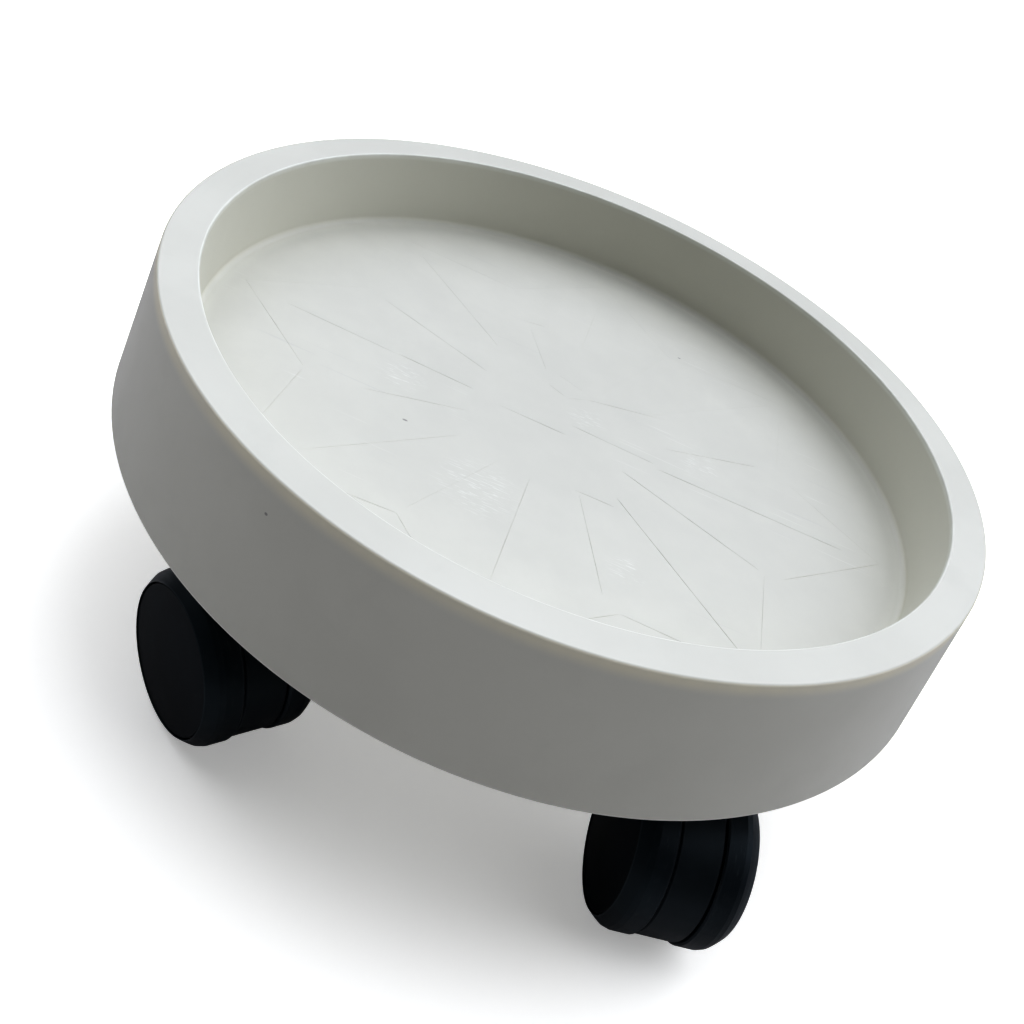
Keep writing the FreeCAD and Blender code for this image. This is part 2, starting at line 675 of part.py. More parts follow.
def make_cap(name):
    b = new_body(name)
    sk = new_sketch(b, name + "_section", "XZ_Plane")
    outline(sk, [
        (ZERO, dim("disc_out") + 0.9),
        (dim("cap_spigot_in"), dim("disc_out") + 0.9),
        (dim("cap_spigot_in"), dim("cap_spigot_foot")),
        (dim("cap_spigot_out"), dim("cap_spigot_foot")),
        (dim("cap_spigot_out"), dim("disc_out")),
        (dim("cap_radius"), dim("disc_out")),
        (dim("cap_radius"), dim("cap_edge") - 0.3),
        (dim("cap_radius") - 0.3, dim("cap_edge"), None, 1),
        (ZERO, dim("cap_crown")),
    ])
    revolve(b, name + "_moulding", sk)
    return b


V = FreeCAD.Vector
for where, bearing, heading in CASTERS:
    stem_at = FreeCAD.Placement(
        V(SIZE["stem_circle"] * math.cos(math.radians(bearing)), SIZE["stem_circle"] * math.sin(math.radians(bearing)), 0),
        FreeCAD.Rotation(V(0, 0, 1), heading))
    axle_at = stem_at.multiply(FreeCAD.Placement(V(SIZE["trail"], 0, SIZE["wheel_radius"]), FreeCAD.Rotation(V(1, 0, 0), -90)))
    to_right = axle_at
    to_left = stem_at.multiply(FreeCAD.Placement(V(SIZE["trail"], 0, SIZE["wheel_radius"]), FreeCAD.Rotation(V(1, 0, 0), 90)))
    pieces = [
        (make_stem(where + "_stem"), stem_at),
        (make_c_ring(where + "_grip_ring", dim("stem_neck") + 0.1, dim("ring_groove_radius") - 0.15,
                     dim("grip_low"), dim("grip_high"), as_size(3.2)), stem_at),
        (make_c_ring(where + "_retaining_ring", dim("shank_groove") + 0.1, dim("keeper_room") - 0.1,
                     dim("keeper_low"), dim("keeper_high"), as_size(2.4)), stem_at),
        (make_hood(where + "_hood"), stem_at),
        (make_axle(where + "_axle"), axle_at),
        (make_clips(where + "_axle_clips"), axle_at),
        (make_wheel(where + "_wheel_left"), to_left),
        (make_wheel(where + "_wheel_right"), to_right),
        (make_cap(where + "_hub_cap_left"), to_left),
        (make_cap(where + "_hub_cap_right"), to_right),
    ]
    for piece, place in pieces:
        piece.Placement = place
        parts_made.append(piece)

doc.recompute()

# ---------------------------------------------------------------------------
# Checks, then one STEP file per sub-part
# ---------------------------------------------------------------------------
for obj in doc.Objects:
    for state in obj.State:
        if "Invalid" in state or "Error" in state:
            raise RuntimeError("%s is in state %s" % (obj.Name, obj.State))

for part in parts_made:
    if part.TypeId == "PartDesign::Body":
        last = None
        for f in part.Group:
            if f.TypeId in ("PartDesign::Pad", "PartDesign::Revolution") and last is not None:
                if f.Shape.Volume <= last + 1e-6:
                    raise RuntimeError("%s adds nothing" % f.Name)
            if f.TypeId in ("PartDesign::Pocket", "PartDesign::Groove"):
                if f.Shape.Volume >= last - 1e-6:
                    raise RuntimeError("%s cuts nothing" % f.Name)
            if hasattr(f, "Shape") and f.TypeId.startswith("PartDesign::") and f.Shape.Volume > 0:
                last = f.Shape.Volume
    shape = part.Shape
    if shape.isNull() or not shape.isValid():
        raise RuntimeError("%s has no valid shape" % part.Label)
    expected = 2 if part.Label.endswith("_axle_clips") else 1
    if len(shape.Solids) != expected:
        raise RuntimeError("%s has %d solids" % (part.Label, len(shape.Solids)))

os.makedirs("parts", exist_ok=True)
for part in parts_made:
    part.Shape.exportStep("parts/%s.step" % part.Label)

box = None
for part in parts_made:
    box = part.Shape.BoundBox if box is None else box.united(part.Shape.BoundBox)
print("sub-parts:", len(parts_made))
print("overall size %.2f x %.2f x %.2f mm" % (box.XLength, box.YLength, box.ZLength))
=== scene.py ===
import bmesh
import bpy
import json
import math
from mathutils import Matrix, Vector


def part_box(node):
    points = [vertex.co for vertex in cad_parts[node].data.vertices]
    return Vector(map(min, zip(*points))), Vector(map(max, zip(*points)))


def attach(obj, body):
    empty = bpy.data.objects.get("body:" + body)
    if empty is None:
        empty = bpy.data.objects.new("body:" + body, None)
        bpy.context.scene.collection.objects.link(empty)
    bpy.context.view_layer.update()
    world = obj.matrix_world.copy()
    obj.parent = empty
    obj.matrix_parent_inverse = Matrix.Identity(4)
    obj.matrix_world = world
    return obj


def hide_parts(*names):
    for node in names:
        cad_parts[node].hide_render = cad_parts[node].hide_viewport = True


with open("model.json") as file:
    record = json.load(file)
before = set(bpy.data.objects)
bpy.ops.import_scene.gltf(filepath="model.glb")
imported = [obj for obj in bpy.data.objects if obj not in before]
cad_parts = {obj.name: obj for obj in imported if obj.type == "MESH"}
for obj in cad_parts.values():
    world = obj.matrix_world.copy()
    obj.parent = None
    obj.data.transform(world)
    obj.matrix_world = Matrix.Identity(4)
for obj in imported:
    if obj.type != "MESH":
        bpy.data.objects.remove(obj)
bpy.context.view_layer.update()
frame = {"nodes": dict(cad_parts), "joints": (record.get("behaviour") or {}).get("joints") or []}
nodes = frame["nodes"]
scene = bpy.context.scene

# ---------------------------------------------------------------------------
# Casters: where each one stands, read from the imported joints
# ---------------------------------------------------------------------------
joints = {j["name"]: j for j in frame["joints"]}
CASTERS = ["front_right", "front_left", "rear_left", "rear_right"]


def caster_frame(where):
    """Matrix of the caster's own frame: origin at the middle of the axle, +Y along the axle, +X away from the stem."""
    swivel = Vector(joints[where + "_swivel"]["pos_m"])
    spin = joints[where + "_wheel_right_spin"]
    axle = Vector(spin["pos_m"])
    trail = Vector((axle.x - swivel.x, axle.y - swivel.y, 0.0)).normalized()
    along = Vector((-trail.y, trail.x, 0.0))
    up = Vector((0.0, 0.0, 1.0))
    m = Matrix((
        (trail.x, along.x, up.x, axle.x),
        (trail.y, along.y, up.y, axle.y),
        (trail.z, along.z, up.z, axle.z),
        (0.0, 0.0, 0.0, 1.0),
    ))
    return m


# ---------------------------------------------------------------------------
# Tray: turned body, ribs, webs and sockets joined into one solid, fine marks cut in the floor
# ---------------------------------------------------------------------------
MM = 0.001
TURNS = 288
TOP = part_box("tray")[1].z
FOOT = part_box("tray")[0].z
top, foot = TOP / MM, FOOT / MM
floor_top, floor_under, rim_under = top - 26.0, top - 29.0, top - 3.0
flare = 5.4 / (top - foot)
rib_low = floor_under - 9.0
STEM_CIRCLE = 105.4
SOCKET_TOP, BOSS_FOOT = top - 28.8, top - 44.0

CORNERS = [  # radius, height, rounding of the turned section, from the axis underneath round to the axis on top
    (0.0, floor_under, 0.0),
    (120.4, floor_under, 0.5),
    (121.4, rim_under, 0.8),
    (127.352, rim_under, 0.8),
    (132.4, foot, 0.7),
    (135.4, foot, 0.7),
    (130.0, top, 0.8),
    (118.8, top, 0.6),
    (117.8, floor_top, 1.8),
    (0.0, floor_top, 0.0),
]


def turned_section(corners, fine=5):
    """Points of the section, and its straight and round stretches with their own normals."""
    points, stretches = [], []
    n = len(corners)
    last = None
    for i, (r, z, rad) in enumerate(corners):
        here = Vector((r, z))
        if i in (0, n - 1) or rad == 0.0:
            if last is not None:
                stretches.append(("line", last, here))
            points.append(here)
            last = here
            continue
        a = (Vector(corners[i - 1][:2]) - here).normalized()
        b = (Vector(corners[i + 1][:2]) - here).normalized()
        half = a.angle(b) / 2.0
        cut = rad / math.tan(half)
        p, q = here + a * cut, here + b * cut
        centre = here + (a + b).normalized() * (rad / math.sin(half))
        stretches.append(("line", last, p))
        va, vb = p - centre, q - centre
        sweep = va.angle_signed(vb)
        outward = 1.0 if ((va + vb) / 2.0).dot(here - centre) > 0 else -1.0
        arc = []
        for k in range(fine + 1):
            turn = -sweep * k / fine
            v = Vector((va.x * math.cos(turn) - va.y * math.sin(turn), va.x * math.sin(turn) + va.y * math.cos(turn)))
            arc.append(centre + v)
        points.extend(arc)
        stretches.append(("arc", centre, rad, arc))
        last = q
    return points, stretches


def turned_mesh(name, points):
    verts, faces, rows = [], [], []
    for p in points:
        if p.x < 1e-9:
            rows.append([len(verts)])
            verts.append((0.0, 0.0, p.y * MM))
        else:
            rows.append(list(range(len(verts), len(verts) + TURNS)))
            for k in range(TURNS):
                a = 2.0 * math.pi * k / TURNS
                verts.append((p.x * MM * math.cos(a), p.x * MM * math.sin(a), p.y * MM))
    for lower, upper in zip(rows, rows[1:]):
        for k in range(TURNS):
            j = (k + 1) % TURNS
            if len(lower) == 1:
                faces.append((lower[0], upper[j], upper[k]))
            elif len(upper) == 1:
                faces.append((lower[k], lower[j], upper[0]))
            else:
                faces.append((lower[k], lower[j], upper[j], upper[k]))
    me = bpy.data.meshes.new(name)
    me.from_pydata(verts, [], faces)
    return me


def prism(outline_points, low, high):
    """Closed prism over a plan outline given counter-clockwise, in millimetres."""
    n = len(outline_points)
    v = [(x * MM, y * MM, low * MM) for x, y in outline_points] + [(x * MM, y * MM, high * MM) for x, y in outline_points]
    f = [tuple(reversed(range(n))), tuple(range(n, 2 * n))]
    f += [(i, (i + 1) % n, n + (i + 1) % n, n + i) for i in range(n)]
    return v, f


def strip_outline(a, b, width):
    a, b = Vector(a), Vector(b)
    d = (b - a).normalized()
    s = Vector((-d.y, d.x)) * (width / 2.0)
    return [tuple(a - s), tuple(b - s), tuple(b + s), tuple(a + s)]


def round_outline(x, y, radius, n=48):
    return [(x + radius * math.cos(2 * math.pi * k / n), y + radius * math.sin(2 * math.pi * k / n)) for k in range(n)]


def polar(radius, degrees):
    return (radius * math.cos(math.radians(degrees)), radius * math.sin(math.radians(degrees)))


def helper(name, parts):
    """One object out of several closed pieces."""
    verts, faces = [], []
    for v, f in parts:
        base = len(verts)
        verts.extend(v)
        faces.extend(tuple(base + i for i in face) for face in f)
    me = bpy.data.meshes.new(name)
    me.from_pydata(verts, [], faces)
    o = bpy.data.objects.new(name, me)
    scene.collection.objects.link(o)
    return o


def combine(target, tool, operation):
    mod = target.modifiers.new("combine", "BOOLEAN")
    mod.operation = operation
    mod.solver = "MANIFOLD"
    mod.object = tool
    deps = bpy.context.evaluated_depsgraph_get()
    deps.update()
    me = bpy.data.meshes.new_from_object(target.evaluated_get(deps))
    target.modifiers.clear()
    old = target.data
    target.data = me
    bpy.data.meshes.remove(old)
    used = tool.data
    bpy.data.objects.remove(tool)
    bpy.data.meshes.remove(used)


section, stretches = turned_section(CORNERS)
tray_mesh = turned_mesh("tray_shell", section)
tray_piece = bpy.data.objects.new("tray_moulding", tray_mesh)
scene.collection.objects.link(tray_piece)


def ring_part(outer, inner, low, high, n=96):
    v, f = [], []
    for r in (outer, inner):
        for z in (low, high):
            v += [(r * MM * math.cos(2 * math.pi * k / n), r * MM * math.sin(2 * math.pi * k / n), z * MM) for k in range(n)]
    ol, oh, il, ih = 0, n, 2 * n, 3 * n
    for k in range(n):
        j = (k + 1) % n
        f += [(ol + k, ol + j, oh + j, oh + k), (il + j, il + k, ih + k, ih + j),
              (oh + k, oh + j, ih + j, ih + k), (ol + j, ol + k, il + k, il + j)]
    return v, f


bite_in = floor_under + 0.8
for make in (lambda: [ring_part(35.0, 33.0, rib_low, bite_in)],
             lambda: [prism(strip_outline(polar(34.0, 45.0 * k), polar(99.0, 45.0 * k), 2.0), rib_low, bite_in) for k in range(8)],
             lambda: [prism(strip_outline(polar(34.0, 45.0 * k + 22.5), polar(79.5, 45.0 * k + 22.5), 2.0), rib_low, bite_in) for k in range(8)],
             lambda: [prism(strip_outline(polar(106.8, 45.0 * k), polar(79.8, 45.0 * k + 22.5), 2.0), rib_low, bite_in) for k in range(8)],
             lambda: [prism(strip_outline(polar(79.8, 45.0 * k - 22.5), polar(106.8, 45.0 * k), 2.0), rib_low, bite_in) for k in range(8)],
             lambda: [prism(round_outline(*polar(STEM_CIRCLE, 45.0 + 90.0 * k), 10.5), BOSS_FOOT, bite_in) for k in range(4)]):
    combine(tray_piece, helper("ribs", make()), "UNION")


def web(angle):
    """One upright web between the dish wall and the skirt."""
    web_foot = top - 34.0
    web_skirt = 130.0 + flare * 34.0 - 3.0
    pts = [(119.5, floor_under + 0.2), (web_skirt + 0.6, web_foot), (128.25, rim_under + 0.6), (120.5, rim_under + 0.6)]
    c, s_ = math.cos(math.radians(angle)), math.sin(math.radians(angle))
    v = []
    for side in (-1.0, 1.0):
        v += [((r * c - side * s_) * MM, (r * s_ + side * c) * MM, z * MM) for r, z in pts]
    f = [(0, 1, 2, 3), (7, 6, 5, 4)] + [((i + 1) % 4, i, 4 + i, 4 + (i + 1) % 4) for i in range(4)]
    return v, f


combine(tray_piece, helper("webs", [web(22.5 * k) for k in range(16)]), "UNION")
combine(tray_piece, helper("sockets", [prism(round_outline(*polar(STEM_CIRCLE, 45.0 + 90.0 * k), 5.1), BOSS_FOOT - 1.0, SOCKET_TOP) for k in range(4)]), "DIFFERENCE")


combine(tray_piece, helper("socket_grooves", [prism(round_outline(*polar(STEM_CIRCLE, 45.0 + 90.0 * k), 5.8), top - 35.2, top - 33.2) for k in range(4)]), "DIFFERENCE")


def wobble(t, seed):
    """Smooth repeatable variation between 0 and 1 along a mark."""
    v = (math.sin(t * 2.1 + seed * 1.7) + math.sin(t * 5.3 + seed * 4.1) * 0.6 + math.sin(t * 11.7 + seed * 2.9) * 0.4) / 2.0
    return 0.5 + 0.5 * v


def mark(a, b, strength, seed, width=0.46, depth=0.19):
    """A hairline cut in the floor: a shallow vee whose depth comes and goes along its run."""
    a, b = Vector(a), Vector(b)
    run = (b - a).length
    d = (b - a) / run
    s_ = Vector((-d.y, d.x))
    n = max(4, int(run / 2.5))
    v, f = [], []
    for i in range(n + 1):
        t = i / n
        ends = min(1.0, min(t, 1.0 - t) * run / 3.0)
        k = max(0.10, strength * (0.35 + 0.65 * wobble(t * run / 9.0, seed)) * (0.25 + 0.75 * ends))
        p = a + d * (run * t)
        for off, z in ((-width / 2 * k - 0.02, floor_top + 0.05), (width / 2 * k + 0.02, floor_top + 0.05), (0.0, floor_top - depth * k)):
            v.append(((p.x + s_.x * off) * MM, (p.y + s_.y * off) * MM, z * MM))
    for i in range(n):
        q = 3 * i
        for e in range(3):
            g = (e + 1) % 3
            f.append((q + 3 + e, q + 3 + g, q + g, q + e))
    f += [(0, 1, 2), (3 * n + 2, 3 * n + 1, 3 * n)]
    return v, f


SPOKES = [  # x, y of both ends in millimetres, and strength: eight long and eight short lines
    ((32.4, -5.0), (96.0, -5.0), 0.90), ((-94.8, -3.0), (-57.6, -4.5), 0.72), ((-56.4, -4.2), (-30.7, -5.3), 1.00),
    ((-4.1, -37.9), (-4.1, -104.0), 0.75), ((-3.6, 85.2), (-3.6, 44.4), 0.42), ((22.3, -29.3), (66.5, -74.5), 1.00),
    ((-27.6, -31.7), (-64.8, -69.6), 0.50), ((-68.4, 62.9), (-30.0, 25.9), 0.48), ((25.0, 24.0), (66.9, 65.9), 0.22),
    ((-70.8, 24.0), (-29.3, 7.9), 0.66), ((33.6, 8.4), (65.3, 21.6), 0.80), ((21.6, -14.4), (69.0, -34.0), 0.88),
    ((-60.0, -30.0), (-28.8, -18.0), 0.68), ((11.3, -36.0), (25.4, -74.9), 0.80), ((-14.4, -36.0), (-32.0, -74.0), 0.32),
    ((-22.8, 46.6), (-12.0, 24.0), 0.42), ((7.7, 22.9), (26.0, 67.3), 0.20),
]
STAR = [  # the sixteen edges of the star, in order round it from the left tip
    ((-110.4, 0.0), (-78.2, -31.8), 0.58), ((-77.9, -33.4), (-79.3, -80.3), 0.60),
    ((-79.3, -80.3), (-33.6, -77.8), 0.85), ((-33.6, -77.8), (-3.8, -110.5), 0.90),
    ((-3.8, -110.5), (31.2, -79.2), 0.90), ((31.2, -79.2), (71.7, -80.3), 0.80),
    ((71.7, -80.3), (70.8, -35.6), 0.70), ((76.8, -33.6), (109.2, -3.6), 0.68),
    ((109.2, -3.6), (76.8, 19.2), 0.32), ((72.0, 27.0), (71.7, 70.7), 0.20),
    ((71.7, 70.7), (26.9, 69.3), 0.20), ((26.9, 69.3), (-3.8, 102.0), 0.20),
    ((-3.8, 102.0), (-34.5, 69.3), 0.20), ((-34.5, 69.3), (-79.3, 70.7), 0.24),
    ((-76.1, 68.4), (-76.8, 28.8), 0.32), ((-77.0, 27.0), (-110.4, 0.0), 0.24),
]
MINOR = [  # short lines near the middle
    ((9.6, -34.3), (22.1, -34.1), 0.85), ((-21.1, -7.9), (1.9, -8.2), 0.80), ((2.4, -1.7), (30.7, -2.9), 0.80),
    ((4.0, 17.0), (31.7, 25.9), 0.72), ((-2.2, 12.7), (3.2, 16.5), 0.50), ((-9.6, 16.3), (-3.0, 13.3), 0.55),
    ((-7.2, 24.5), (1.9, 21.1), 0.45), ((-26.4, 49.9), (-18.0, 52.1), 0.60),
]
for seed, group in enumerate((SPOKES[::2], SPOKES[1::2], STAR[::2], STAR[1::2], MINOR[::2], MINOR[1::2])):
    combine(tray_piece, helper("marks", [mark(a, b, w, 10.0 * seed + i) for i, (a, b, w) in enumerate(group)]), "DIFFERENCE")


def tidy(me):
    """Close up hair-thin leftovers of the joins, so the shell stays one clean closed skin."""
    bm = bmesh.new()
    bm.from_mesh(me)
    bmesh.ops.remove_doubles(bm, verts=bm.verts, dist=2e-6)
    bmesh.ops.dissolve_degenerate(bm, edges=bm.edges, dist=2e-6)
    bmesh.ops.triangulate(bm, faces=[f for f in bm.faces if len(f.verts) > 4], ngon_method="BEAUTY")
    bmesh.ops.dissolve_degenerate(bm, edges=bm.edges, dist=2e-6)
    bm.to_mesh(me)
    bm.free()


def true_normals(me, stretches):
    """Shading normals of the turned faces, worked out from the section, so flats stay flat and roundings stay even."""
    flats = []
    for s_ in stretches:
        if s_[0] == "line":
            a, b = s_[1], s_[2]
            d = (b - a).normalized()
            flats.append((a, b, Vector((d.y, -d.x))))
    out = []
    loops = me.loops
    for poly in me.polygons:
        c = poly.center
        r = math.hypot(c.x, c.y)
        n = poly.normal
        if r < 1e-6:
            out += [tuple(n)] * poly.loop_total
            continue
        rx, ry = c.x / r, c.y / r
        nr, nt, nz = n.x * rx + n.y * ry, -n.x * ry + n.y * rx, n.z
        p = Vector((r / MM, c.z / MM))
        found = None
        if abs(nt) < 0.05:
            for s_ in stretches:
                if s_[0] == "arc":
                    gap = abs((p - s_[1]).length - s_[2])
                    if gap < 0.09 and min((p - q).length for q in s_[3]) < s_[2] * 0.45 + 0.05:
                        found = s_
                        break
            if found is None:
                for a, b, fl in flats:
                    d = b - a
                    t = (p - a).dot(d) / d.length_squared
                    if -0.01 <= t <= 1.01 and abs((p - a).dot(fl)) < 0.06 and nr * fl.x + nz * fl.y > 0.995:
                        found = ("flat", fl)
                        break
        for li in poly.loop_indices:
            v = me.vertices[loops[li].vertex_index].co
            vr = math.hypot(v.x, v.y)
            if found is None or vr < 1e-6:
                out.append(tuple(n))
                continue
            if found[0] == "flat":
                m = found[1]
            else:
                m = (Vector((vr / MM, v.z / MM)) - found[1]).normalized()
                if m.x * nr + m.y * nz < 0:
                    m = -m
            out.append((m.x * v.x / vr, m.x * v.y / vr, m.y))
    for poly in me.polygons:
        poly.use_smooth = True
    me.normals_split_custom_set(out)


tidy(tray_piece.data)
true_normals(tray_piece.data, stretches)
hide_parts("tray")
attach(tray_piece, "tray_body")

# ---------------------------------------------------------------------------
# Hub caps: a shallow domed disc with a rounded edge and a spigot behind it, turned about the axle
# ---------------------------------------------------------------------------
def cap_runs():
    """Stretches of the cap's section as (radius, out, normal) at both ends, from the axis behind round to the crown."""
    flat = [((0.0, 16.4), (5.8, 16.4), (0.0, -1.0)), ((5.8, 16.4), (5.8, 14.1), (-1.0, 0.0)), ((5.8, 14.1), (6.8, 14.1), (0.0, -1.0)),
            ((6.8, 14.1), (6.8, 15.5), (1.0, 0.0)), ((6.8, 15.5), (22.4, 15.5), (0.0, -1.0)), ((22.4, 15.5), (22.4, 17.3), (1.0, 0.0))]
    runs = [(a, n, b, n) for a, b, n in flat]
    for k in range(4):
        p, q = math.radians(22.5 * k), math.radians(22.5 * (k + 1))
        runs.append(((22.1 + 0.3 * math.cos(p), 17.3 + 0.3 * math.sin(p)), (math.cos(p), math.sin(p)),
                     (22.1 + 0.3 * math.cos(q), 17.3 + 0.3 * math.sin(q)), (math.cos(q), math.sin(q))))
    ball = (22.1 ** 2 + 1.4 ** 2) / 2.8
    rings = [22.1, 20.0, 17.5, 15.0, 12.5, 10.0, 7.5, 5.0, 2.5, 0.0]
    for a, b in zip(rings, rings[1:]):
        lift = [19.0 - ball + math.sqrt(ball ** 2 - r ** 2) for r in (a, b)]
        runs.append(((a, lift[0]), (a / ball, (lift[0] - 19.0 + ball) / ball), (b, lift[1]), (b / ball, (lift[1] - 19.0 + ball) / ball)))
    return runs


def cap_piece(name, place, side, turns=96):
    """One cap as a closed mesh; side is +1 towards the right wheel and -1 towards the left one."""
    runs = cap_runs()
    points = [runs[0][0]] + [r[2] for r in runs]
    verts, rows = [], []
    for r, out in points:
        row = []
        for k in range(turns if r > 0.0 else 1):
            a = 2.0 * math.pi * k / turns
            row.append(len(verts))
            verts.append(place @ Vector((r * math.cos(a) * MM, side * out * MM, r * math.sin(a) * MM)))
        rows.append(row)
    faces, shade = [], []
    for i, (pa, na, pb, nb) in enumerate(runs):
        lower, upper = rows[i], rows[i + 1]
        for k in range(turns):
            j = (k + 1) % turns
            if len(lower) == 1:
                corner = [(lower[0], na, k + 0.5), (upper[j], nb, j), (upper[k], nb, k)]
            elif len(upper) == 1:
                corner = [(lower[k], na, k), (lower[j], na, j), (upper[0], nb, k + 0.5)]
            else:
                corner = [(lower[k], na, k), (lower[j], na, j), (upper[j], nb, j), (upper[k], nb, k)]
            if side > 0:
                corner.reverse()
            faces.append([c[0] for c in corner])
            for c in corner:
                a = 2.0 * math.pi * c[2] / turns
                shade.append((place.to_3x3() @ Vector((c[1][0] * math.cos(a), side * c[1][1], c[1][0] * math.sin(a)))).normalized())
    me = bpy.data.meshes.new(name)
    me.from_pydata(verts, [], faces)
    for poly in me.polygons:
        poly.use_smooth = True
    me.normals_split_custom_set(shade)
    o = bpy.data.objects.new(name, me)
    scene.collection.objects.link(o)
    return o


caps = {}
for where in CASTERS:
    for side, sign in (("left", -1.0), ("right", 1.0)):
        node = where + "_hub_cap_" + side
        caps[node] = cap_piece(where + "_cap_disc_" + side, caster_frame(where), sign)
        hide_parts(node)
        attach(caps[node], where + "_roller_" + side)


# ---------------------------------------------------------------------------
# Node helpers
# ---------------------------------------------------------------------------
class Shader:
    """Small wrapper for building one node material."""

    def __init__(self, name):
        self.mat = bpy.data.materials.new(name)
        self.mat.use_nodes = True
        self.tree = self.mat.node_tree
        self.tree.nodes.clear()
        self.out = self.new("ShaderNodeOutputMaterial")
        self.bsdf = self.new("ShaderNodeBsdfPrincipled")
        self.link(self.bsdf.outputs["BSDF"], self.out.inputs["Surface"])
        self.count = 0

    def new(self, kind, **props):
        n = self.tree.nodes.new(kind)
        for k, v in props.items():
            setattr(n, k, v)
        return n

    def link(self, a, b):
        self.tree.links.new(a, b)

    def feed(self, socket, value):
        if isinstance(value, bpy.types.NodeSocket):
            self.link(value, socket)
        else:
            socket.default_value = value

    def math(self, op, a, b=0.0, c=0.0, clamp=False):
        n = self.new("ShaderNodeMath", operation=op, use_clamp=clamp)
        for i, v in enumerate((a, b, c)):
            self.feed(n.inputs[i], v)
        return n.outputs[0]

    def vec(self, op, a, b=(0.0, 0.0, 0.0)):
        n = self.new("ShaderNodeVectorMath", operation=op)
        self.feed(n.inputs[0], a)
        self.feed(n.inputs[1], b)
        return n.outputs["Value"] if op in ("LENGTH", "DOT_PRODUCT", "DISTANCE") else n.outputs["Vector"]

    def split(self, v):
        n = self.new("ShaderNodeSeparateXYZ")
        self.link(v, n.inputs[0])
        return n.outputs

    def join(self, x, y, z):
        n = self.new("ShaderNodeCombineXYZ")
        for i, v in enumerate((x, y, z)):
            self.feed(n.inputs[i], v)
        return n.outputs[0]

    def mapping(self, vector, location=(0, 0, 0), rotation=(0, 0, 0), scale=(1, 1, 1), kind="POINT"):
        n = self.new("ShaderNodeMapping", vector_type=kind)
        self.link(vector, n.inputs["Vector"])
        n.inputs["Location"].default_value = location
        n.inputs["Rotation"].default_value = rotation
        n.inputs["Scale"].default_value = scale
        return n.outputs[0]

    def coords(self):
        return self.new("ShaderNodeTexCoord").outputs["Object"]

    def noise(self, vector, scale, detail=3.0, rough=0.55, distortion=0.0):
        n = self.new("ShaderNodeTexNoise", noise_dimensions="3D")
        self.link(vector, n.inputs["Vector"])
        n.inputs["Scale"].default_value = scale
        n.inputs["Detail"].default_value = detail
        n.inputs["Roughness"].default_value = rough
        n.inputs["Distortion"].default_value = distortion
        return n.outputs["Fac"]

    def voronoi(self, vector, scale, feature="F1", randomness=1.0):
        n = self.new("ShaderNodeTexVoronoi", feature=feature)
        self.link(vector, n.inputs["Vector"])
        n.inputs["Scale"].default_value = scale
        n.inputs["Randomness"].default_value = randomness
        return n.outputs["Distance"]

    def ramp(self, value, low, high, out_low=0.0, out_high=1.0, smooth=True):
        n = self.new("ShaderNodeMapRange", interpolation_type="SMOOTHSTEP" if smooth else "LINEAR")
        n.clamp = True
        self.feed(n.inputs["Value"], value)
        n.inputs["From Min"].default_value = low
        n.inputs["From Max"].default_value = high
        n.inputs["To Min"].default_value = out_low
        n.inputs["To Max"].default_value = out_high
        return n.outputs["Result"]

    def mix(self, fac, a, b):
        n = self.new("ShaderNodeMix", data_type="RGBA", blend_type="MIX")
        self.feed(n.inputs[0], fac)
        self.feed(n.inputs[6], a if isinstance(a, bpy.types.NodeSocket) else (*a, 1.0))
        self.feed(n.inputs[7], b if isinstance(b, bpy.types.NodeSocket) else (*b, 1.0))
        return n.outputs[2]

    def bump(self, height, distance, strength=1.0, normal=None):
        n = self.new("ShaderNodeBump")
        n.inputs["Distance"].default_value = distance
        n.inputs["Strength"].default_value = strength
        self.link(height, n.inputs["Height"])
        if normal is not None:
            self.link(normal, n.inputs["Normal"])
        return n.outputs["Normal"]

    def edges(self, radius, samples=4):
        """Near 1 on convex and concave edges of about that radius, 0 on flats."""
        bevel = self.new("ShaderNodeBevel", samples=samples)
        bevel.inputs["Radius"].default_value = radius
        geo = self.new("ShaderNodeNewGeometry")
        d = self.vec("DOT_PRODUCT", bevel.outputs["Normal"], geo.outputs["Normal"])
        return self.ramp(d, 0.995, 0.86)

    def set(self, **values):
        for k, v in values.items():
            self.feed(self.bsdf.inputs[k.replace("_", " ")], v)


def streaks(s, vector, angle, scale, thin, seed):
    """Fine straight scratches: noise pulled out along one direction, kept where it peaks."""
    v = s.mapping(vector, location=(seed * 3.1, seed * 1.7, seed), rotation=(0.0, 0.0, angle), scale=(scale, scale * 55.0, scale))
    n = s.noise(v, 1.0, detail=1.0, rough=0.4)
    line = s.ramp(n, 0.735, 0.735 + thin)
    where = s.noise(vector, 23.0 + seed, detail=1.0)
    return s.math("MULTIPLY", line, s.ramp(where, 0.50, 0.66))


